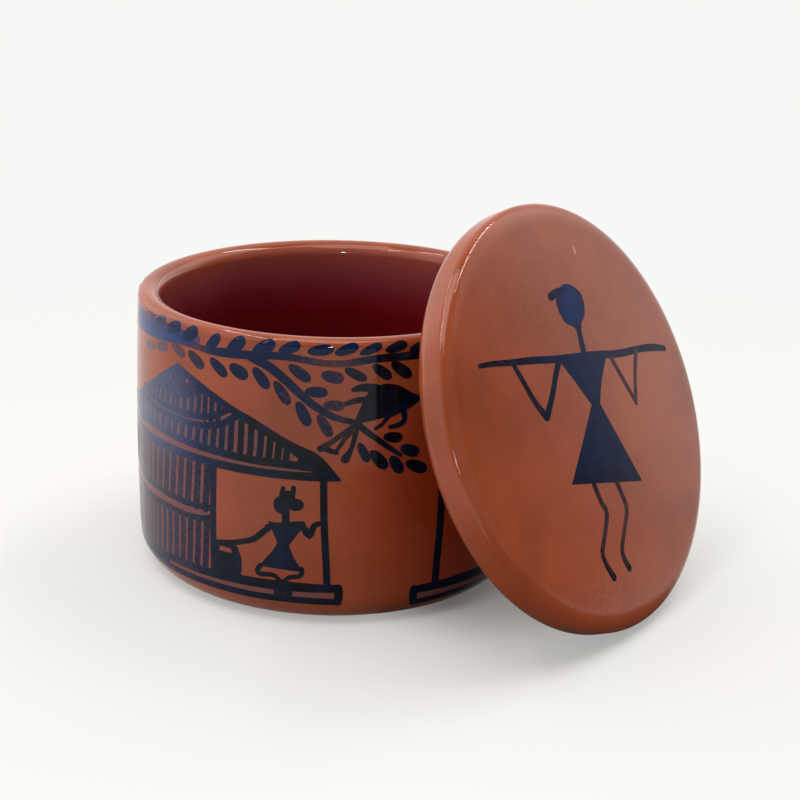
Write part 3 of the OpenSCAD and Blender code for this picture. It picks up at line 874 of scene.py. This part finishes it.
seated_skirt = [
    stroke([(-11.7, 20.8), (-11.9, 18), (-12.1, 16), (-12.2, 13.9)], [2.4, 4.9, 7.6, 10.4], (False, False),
           cobalt=0.1),
    stroke([(-17.2, 14.2), (-18.0, 12.8), (-17.2, 12.0), (-15.4, 12.2), (-13.8, 12.1), (-12.9, 11.2),
            (-12, 10.8), (-11.1, 11.2), (-10.3, 12.0), (-9, 12.3), (-7.9, 12.5), (-7.3, 13.4), (-7.4, 14.4)],
           [1.2, 1.3, 1.3, 1.2, 1.2, 1.1, 1.0, 1.1, 1.1, 1.2, 1.2, 1.2, 1.2]),
]
seated_arms = [
    stroke([(-15.0, 24.2), (-17, 22.3), (-18.6, 20.8), (-20.2, 20.0), (-22.5, 19.2), (-25, 18.4),
            (-28.4, 17.7)], [1.5, 1.5, 1.5, 1.4, 1.4, 1.5, 1.5], load=[1, 0.95, 0.95, 0.95, 0.95, 1, 1]),
    stroke([(-7.6, 25.5), (-6.6, 24.4), (-5.7, 23.0), (-5.0, 24.4), (-4.4, 25.7), (-3.2, 26.2)],
           [1.7, 1.7, 1.9, 1.5, 1.4, 1.2]),
]
jar = [
    stroke([(-26.0, 18.0), (-26.0, 17.0)], [5.4, 6.2], (False, False)),
    stroke([(-29.9, 13.2), (-29.2, 13.2), (-28, 13.1), (-26.0, 13.0), (-24.0, 13.1), (-22.7, 13.2),
            (-22.0, 13.2)], [3.2, 5.0, 5.5, 5.6, 5.5, 5.0, 3.0], (False, False), cobalt=0.05),
    stroke([(-29.2, 11.2), (-26.2, 10.2), (-23.2, 11.0)], [2.0, 2.4, 2.0], cobalt=0.05),
    stroke([(-28.9, 17.0), (-29.2, 15.0)], 2.0), stroke([(-23.8, 17.0), (-23.1, 15.0)], 2.0),
]
seated_woman = torso + head_dress + seated_skirt + seated_arms + jar
finish_paint(brushwork("woman_at_her_jar", seated_woman, on_pot, across=15), pot_ink, "pot")

walker = torso + [
    stroke([(-11.7, 20.8), (-11.9, 18), (-12.1, 16), (-12.2, 12.6)], [2.1, 4.6, 6.6, 9.4], (False, False)),
    stroke([(-13.8, 13.0), (-13.4, 10.4), (-14.6, 7.8), (-13.6, 5.8)], [1.1, 1.0, 1.0, 1.1]),
    stroke([(-10.6, 13.0), (-10.0, 10.4), (-11.0, 7.8), (-10.0, 5.8)], [1.1, 1.0, 1.0, 1.1]),
    stroke([(-15.0, 24.6), (-17.2, 27.6), (-16.4, 31.4), (-14.4, 34.2)], [1.2, 1.1, 1.0, 1.1]),
    stroke([(-7.6, 25.6), (-5.6, 22.6), (-6.6, 19.4)], [1.2, 1.1, 1.1]),
    stroke([(-15.2, 35.2), (-14.2, 35.4), (-12, 35.6), (-9.8, 35.4), (-8.8, 35.2)],
           [1.8, 4.0, 5.2, 4.0, 1.8], (False, False)),
    stroke([(-13.6, 38.4), (-10.4, 38.4)], 1.1), stroke([(-12.9, 32.6), (-11.1, 32.6)], 1.3),
]
walkers = [moved(run, along, 0, flip) for along, flip in ((131, 1), (148, 1), (196, -1), (214, -1))
           for run in walker]
finish_paint(brushwork("walkers", walkers, on_pot, across=13), pot_ink, "pot")


# ---------------------------------------------------------------------------
# The tree at the back of the pot: a forked trunk on a low mound, its twigs
# full of leaves.
tree = [
    stroke([(163, 6.4), (163.6, 16), (164.6, 26), (165, 34)], [4.0, 2.6, 2.2, 1.8]),
    stroke([(154, 5.4), (160, 6.6), (166, 6.8), (174, 5.4)], [1.0, 2.2, 2.2, 1.0]),
    stroke([(164.6, 24), (160, 31), (157.6, 39), (156.6, 47)], [1.6, 1.4, 1.2, 0.9]),
    stroke([(164.8, 27), (169.6, 33), (172.4, 41), (173.6, 49)], [1.6, 1.4, 1.2, 0.9]),
    stroke([(165, 33), (164.6, 42), (165.2, 50), (165, 57)], [1.6, 1.3, 1.1, 0.8]),
]
twigs = (((157.6, 39), (150.6, 45)), ((172.4, 41), (179.4, 46.6)), ((164.6, 42), (160.6, 51)),
         ((164.8, 45), (169.6, 54)), ((159.6, 32), (152.4, 35.6)), ((170, 33.6), (177.4, 37)))
for start, end in twigs:
    tree.append(stroke([start, end], [1.0, 0.7]))
for start, end in twigs + (((160, 31), (156.6, 48.6)), ((169.6, 33), (173.6, 50.6)),
                           ((164.6, 42), (165, 58.4))):
    slope = math.degrees(math.atan2(end[1] - start[1], end[0] - start[0]))
    for share in (0.35, 0.68, 1.0):
        x, y = (s + (e - s) * share for s, e in zip(start, end))
        for side in (-1, 1):
            turn = math.radians(slope + side * 52)
            tree.append(leaf(x + 2.5 * math.cos(turn), y + 2.5 * math.sin(turn), hand.uniform(3.8, 4.8),
                             hand.uniform(1.7, 2.2), slope + side * 46))
finish_paint(brushwork("tree", tree, on_pot), pot_ink, "pot")


# ---------------------------------------------------------------------------
# The bearer on the lid: a figure of two triangles with a pole across the
# shoulders, in the same pigment.
bearer = [
    stroke([(-35, 19.8), (-30, 19.1), (-24, 17.9), (-16, 16.5), (-8, 14.8), (0, 13.4), (5, 12.6), (12, 11.3),
            (16, 10.4), (22, 9.5), (28, 8.9), (35, 7.8), (41, 6.2)],
           [1.1, 1.3, 1.5, 1.7, 1.8, 1.9, 1.9, 1.9, 1.9, 1.9, 1.8, 1.9, 1.5],
           load=[0.86, 0.88, 0.9, 0.92, 1, 1, 1, 1, 1, 1, 1, 1, 0.96],
           cobalt=[0, 0, 0, 0.1, 0.2, 0.25, 0.25, 0.25, 0.2, 0.1, 0.1, 0.1, 0.1]),
    stroke([(3.9, 12.4), (3.2, 6.4), (2.9, 1.0)], [20, 10.4, 3.3], (False, False), cobalt=[0.25, 0.25, 0.2]),
    stroke([(2.9, 1.4), (0.6, -7.2), (-2, -16.8)], [3.2, 15.4, 29.2], (False, False),
           cobalt=[0.2, 0.2, 0.12]),
    stroke([(-0.1, 25.4), (0.6, 25.4), (2.4, 25.2), (5.4, 25.1), (8.4, 25.2), (10.4, 25.4), (11.2, 25.4)],
           [2.0, 5.0, 8.6, 10.2, 8.6, 5.0, 2.0], (False, False),
           cobalt=[0.15, 0.3, 0.5, 0.6, 0.5, 0.3, 0.15]),
    stroke([(5.5, 21.6), (5.6, 19.0)], [5.4, 2.2], (False, False), cobalt=0.4),
    stroke([(5.6, 19.6), (5.0, 16.6), (4.5, 13.2)], [2.0, 2.0, 2.2], load=0.92, cobalt=0.2),
    stroke([(4.4, 28.9), (1.4, 28.9), (-1.5, 28.5)], [1.6, 2.0, 2.0], cobalt=0.2),
    stroke([(-23.3, 17.2), (-21.6, 12), (-20.2, 8), (-17.8, 3.7)], [1.5, 1.6, 1.7, 2.0], load=0.9),
    stroke([(-17.4, 3.5), (-13, 7.4), (-9.4, 11.2), (-6.4, 14.0)], [2.0, 1.7, 1.8, 1.8], load=0.95,
           cobalt=0.1),
    stroke([(15.2, 9.6), (17.4, 3.8), (20, -2.6)], [1.5, 1.4, 1.4], load=0.78),
    stroke([(20, -2.8), (23.2, 3.2), (27, 8.6)], [1.4, 1.3, 1.5], load=0.76),
    stroke([(-7.8, -15.6), (-7.1, -20), (-6.3, -23), (-9.2, -26.8), (-12.5, -30.6), (-12.1, -34),
            (-10.8, -37)], [1.7, 1.6, 1.6, 1.4, 1.5, 1.6, 1.9], load=[0.9, 0.82, 0.8, 0.8, 0.84, 0.86, 0.9]),
    stroke([(1.4, -17.4), (2.1, -21.4), (2.2, -24.6), (-1, -28.4), (-4.4, -32.2), (-4.7, -34.6),
            (-3.8, -37.2)], [1.6, 1.5, 1.5, 1.3, 1.5, 1.6, 1.8],
           load=[0.9, 0.8, 0.78, 0.76, 0.84, 0.86, 0.9]),
]
lid_ink = brush_pigment("dull_blue_black_brush_pigment", 1.2)
finish_paint(brushwork("lid_bearer", bearer, on_lid, across=9), lid_ink, "loose_lid")
